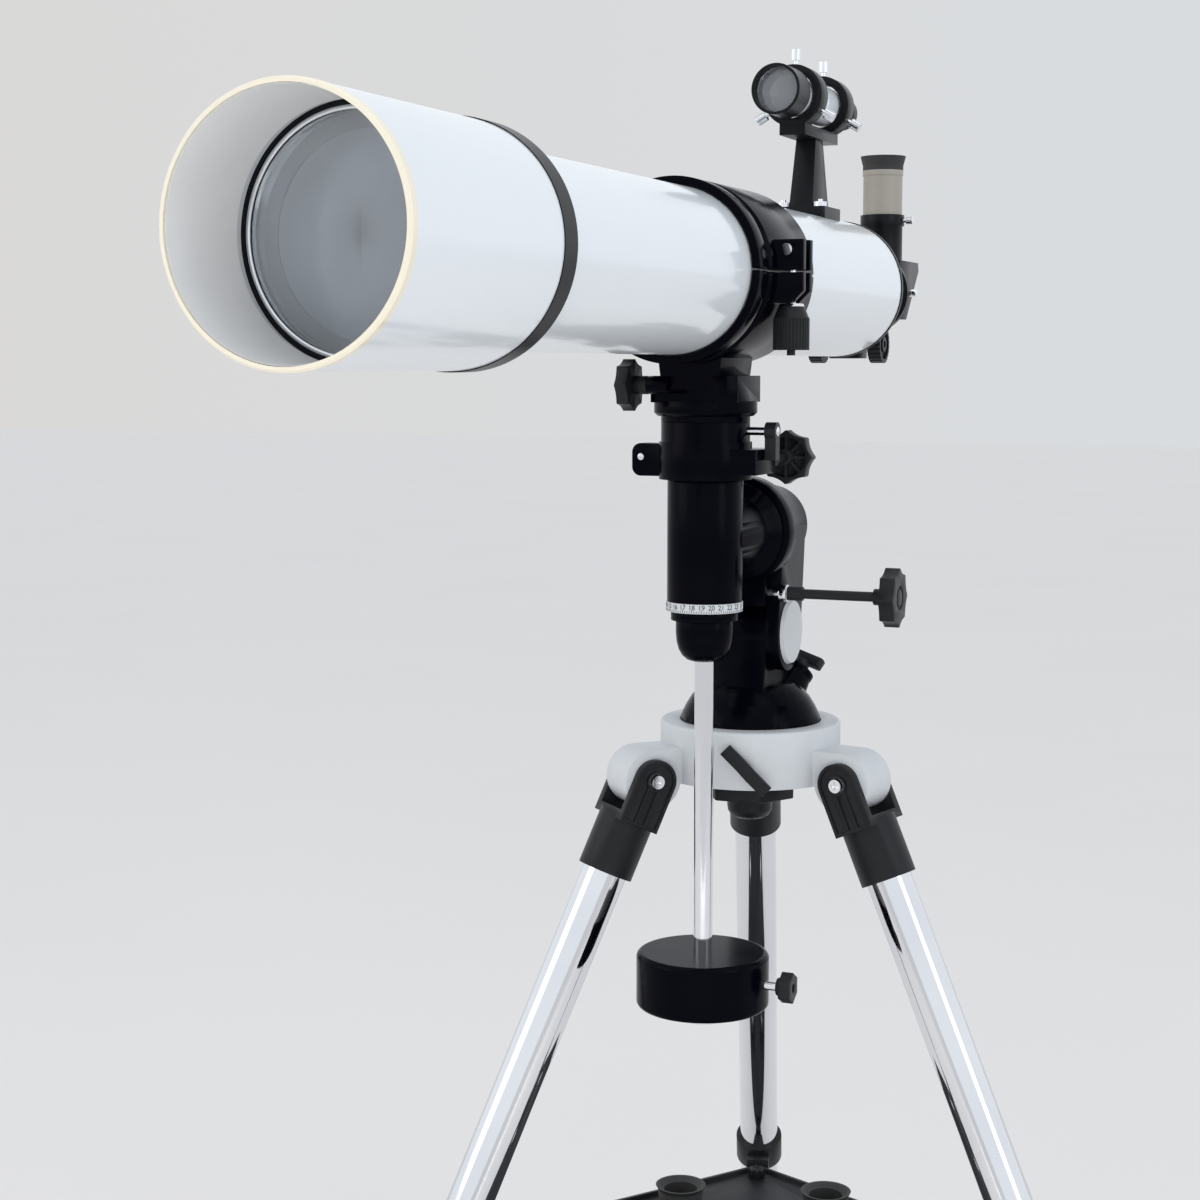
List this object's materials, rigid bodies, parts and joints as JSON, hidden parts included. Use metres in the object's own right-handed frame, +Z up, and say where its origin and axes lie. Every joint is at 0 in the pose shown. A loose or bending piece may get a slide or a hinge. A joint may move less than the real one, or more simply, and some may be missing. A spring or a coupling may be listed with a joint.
{
  "type": "refracting telescope on tripod",
  "caption": "Refracting telescope with finder and star diagonal on an equatorial mount with counterweight, standing on a chrome tripod with an accessory tray.",
  "frame": {"origin": "on the floor, under the middle of the tripod head", "axes": "+Z up; the optical tube lies along Y with its objective towards -Y; +X is to the right as seen from the objective's side"},
  "size_m": [0.8503, 1.3536, 1.506],
  "materials": {
    "white_paint": "gloss",
    "black_cast": "gloss",
    "black_anodised": "satin",
    "black_plastic": "satin",
    "chrome_steel": "mirror",
    "white_plastic": "matte",
    "worm_steel": "satin",
    "felt_liner": "felt",
    "lens_glass": "coated",
    "beige_grey": "satin",
    "rubber_cup": "matte",
    "mirror_glass": "mirror",
    "baffle_black": "matte"
  },
  "bodies": {
    "stand": {"tripod_head": "white_plastic", "leg_pivot_bolts": "chrome_steel", "leg_forks": "black_plastic", "upper_legs": "chrome_steel", "leg_clamps_and_collars": "black_plastic", "accessory_tray": "black_plastic", "spare_eyepieces": "black_plastic"},
    "lower_leg_a": {"lower_leg_a": "chrome_steel"},
    "lower_leg_b": {"lower_leg_b": "chrome_steel"},
    "lower_leg_c": {"lower_leg_c": "chrome_steel"},
    "leg_lock_a": {"leg_lock_knob_a": "black_plastic"},
    "leg_lock_b": {"leg_lock_knob_b": "black_plastic"},
    "leg_lock_c": {"leg_lock_knob_c": "black_plastic"},
    "azimuth_lever": {"azimuth_lock_lever": "black_plastic"},
    "mounting_knob": {"mounting_knob": "black_plastic"},
    "base": {"mount_base": "black_cast"},
    "latitude_bolt": {"latitude_bolt": "black_plastic"},
    "polar": {"polar_housing": "black_cast", "latitude_caps": "white_plastic"},
    "ra_lever": {"ra_lock_lever": "black_plastic"},
    "ra_control": {"ra_slow_control": "black_plastic"},
    "ra_head": {"ra_shaft": "worm_steel", "dec_housing": "black_cast", "dec_worm_housing": "black_cast", "bar_lock_ring": "black_cast", "counterweight_bar": "chrome_steel"},
    "dec_circle": {"dec_circle": "white_plastic"},
    "dec_control": {"dec_slow_control": "black_plastic"},
    "dec_lever": {"dec_lock_lever": "black_plastic"},
    "counterweight": {"counterweight": "black_cast"},
    "counterweight_knob": {"counterweight_knob": "black_plastic"},
    "cradle": {"dec_shaft": "worm_steel", "saddle": "black_cast", "tube_ring_lower": "black_cast", "tube_ring_upper": "black_cast", "ring_liners": "felt_liner", "ring_bolts": "chrome_steel"},
    "saddle_knob": {"saddle_knob": "black_plastic"},
    "ring_clamp": {"clamp_bolt": "black_plastic"},
    "tube": {"main_tube": "white_paint", "dew_shield": "white_paint", "dew_shield_trim": "black_anodised", "lens_cell": "black_anodised", "tube_lenses": "lens_glass", "tube_baffles": "baffle_black", "focuser_housing": "black_anodised", "finder_bracket": "black_anodised", "finder_tube": "white_paint", "finder_end_cells": "black_anodised", "tube_thumb_screws": "chrome_steel"},
    "pinion": {"focus_pinion": "worm_steel", "focus_knobs": "black_plastic"},
    "drawtube": {"drawtube": "black_anodised", "diagonal_holder": "black_anodised"},
    "diagonal": {"diagonal_body": "black_anodised", "diagonal_mirror": "mirror_glass"},
    "eyepiece": {"eyepiece_body": "beige_grey", "eyepiece_eyecup": "rubber_cup", "eyepiece_lenses": "lens_glass"},
    "set_screw": {"eyepiece_set_screw": "chrome_steel"}
  },
  "joints": [
    {"name": "azimuth_turn", "type": "hinge", "parent": "stand", "child": "base", "pos_m": [0, 0, 0.867], "axis": [0, 0, -1], "range_deg": [-12, 12]},
    {"name": "latitude_tilt", "type": "hinge", "parent": "base", "child": "polar", "pos_m": [0, 0, 0.952], "axis": [1, 0, 0], "range_deg": [-50, 0]},
    {"name": "right_ascension_turn", "type": "hinge", "parent": "polar", "child": "ra_head", "pos_m": [0, -0.044, 1.0488], "axis": [0, -1, 0], "range_deg": [-5, 90]},
    {"name": "declination_turn", "type": "hinge", "parent": "ra_head", "child": "cradle", "pos_m": [0, -0.131, 1.13], "axis": [0, 0, 1], "continuous": true},
    {"name": "tube_slide", "type": "slide", "parent": "cradle", "child": "tube", "axis": [0, 1, 0], "range_m": [-0.04, 0.04]},
    {"name": "focuser_slide", "type": "slide", "parent": "tube", "child": "drawtube", "axis": [0, 1, 0], "range_m": [-0.03, 0.03]},
    {"name": "focus_knobs_turn", "type": "hinge", "parent": "tube", "child": "pinion", "pos_m": [0, 0.3218, 1.22325], "axis": [1, 0, 0], "range_deg": [-220, 220]},
    {"name": "diagonal_turn", "type": "hinge", "parent": "drawtube", "child": "diagonal", "pos_m": [0, 0.42, 1.28], "axis": [0, 1, 0], "range_deg": [-90, 90]},
    {"name": "eyepiece_lift", "type": "slide", "parent": "diagonal", "child": "eyepiece", "axis": [0, 0, 1], "range_m": [0, 0.04]},
    {"name": "eyepiece_set_screw_turn", "type": "hinge", "parent": "diagonal", "child": "set_screw", "pos_m": [0.02, 0.454, 1.362], "axis": [1, 0, 0], "range_deg": [-180, 180]},
    {"name": "ring_clamp_swing", "type": "hinge", "parent": "cradle", "child": "ring_clamp", "pos_m": [0.086, -0.157, 1.298], "axis": [0, -1, 0], "range_deg": [0, 75]},
    {"name": "saddle_knob_turn", "type": "hinge", "parent": "cradle", "child": "saddle_knob", "pos_m": [-0.06, -0.166, 1.184], "axis": [1, 0, 0], "range_deg": [-180, 180]},
    {"name": "counterweight_slide", "type": "slide", "parent": "ra_head", "child": "counterweight", "axis": [0, 0, 1], "range_m": [-0.005, 0.09]},
    {"name": "counterweight_knob_turn", "type": "hinge", "parent": "counterweight", "child": "counterweight_knob", "pos_m": [0.06, -0.131, 0.649], "axis": [1, 0, 0], "range_deg": [-180, 180]},
    {"name": "dec_circle_turn", "type": "hinge", "parent": "ra_head", "child": "dec_circle", "pos_m": [0, -0.131, 0.989], "axis": [0, 0, 1], "continuous": true},
    {"name": "dec_slow_turn", "type": "hinge", "parent": "ra_head", "child": "dec_control", "pos_m": [0.045, -0.1, 1.1175], "axis": [0, 1, 0], "continuous": true},
    {"name": "dec_lock_turn", "type": "hinge", "parent": "ra_head", "child": "dec_lever", "pos_m": [0.05, -0.131, 1.144], "axis": [1, 0, 0], "range_deg": [-30, 30]},
    {"name": "ra_slow_turn", "type": "hinge", "parent": "polar", "child": "ra_control", "pos_m": [0.05, -0.032, 0.9918], "axis": [1, 0, 0], "continuous": true},
    {"name": "ra_lock_turn", "type": "hinge", "parent": "polar", "child": "ra_lever", "pos_m": [-0.05, -0.032, 1.0348], "axis": [1, 0, 0], "range_deg": [-25, 25]},
    {"name": "latitude_bolt_turn", "type": "hinge", "parent": "base", "child": "latitude_bolt", "pos_m": [0.014, 0.03, 0.877], "axis": [0.3498, 0.5997, 0.7197], "continuous": true},
    {"name": "azimuth_lock_turn", "type": "hinge", "parent": "stand", "child": "azimuth_lever", "pos_m": [0.02496, -0.08647, 0.834], "axis": [0.2773, -0.9608, 0], "range_deg": [-25, 25]},
    {"name": "mounting_knob_turn", "type": "hinge", "parent": "stand", "child": "mounting_knob", "pos_m": [0, 0, 0.8], "axis": [0, 0, 1], "continuous": true},
    {"name": "lower_leg_a_slide", "type": "slide", "parent": "stand", "child": "lower_leg_a", "axis": [-0.115, 0.3983, -0.91], "range_m": [-0.15, 0.12]},
    {"name": "leg_lock_a_turn", "type": "hinge", "parent": "stand", "child": "leg_lock_a", "pos_m": [-0.10552, 0.36559, 0.2299], "axis": [-0.2524, 0.8743, 0.4145], "range_deg": [-180, 180]},
    {"name": "lower_leg_b_slide", "type": "slide", "parent": "stand", "child": "lower_leg_b", "axis": [-0.2874, -0.2987, -0.91], "range_m": [-0.15, 0.12]},
    {"name": "leg_lock_b_turn", "type": "hinge", "parent": "stand", "child": "leg_lock_b", "pos_m": [-0.26385, -0.27418, 0.2299], "axis": [-0.631, -0.6557, 0.4145], "range_deg": [-180, 180]},
    {"name": "lower_leg_c_slide", "type": "slide", "parent": "stand", "child": "lower_leg_c", "axis": [0.4024, -0.0996, -0.91], "range_m": [-0.15, 0.12]},
    {"name": "leg_lock_c_turn", "type": "hinge", "parent": "stand", "child": "leg_lock_c", "pos_m": [0.36938, -0.09141, 0.2299], "axis": [0.8834, -0.2186, 0.4145], "range_deg": [-180, 180]}
  ],
  "couplings": [
    {"joint": "focus_knobs_turn", "follows": "focuser_slide", "rad_per_m": -125}
  ]
}
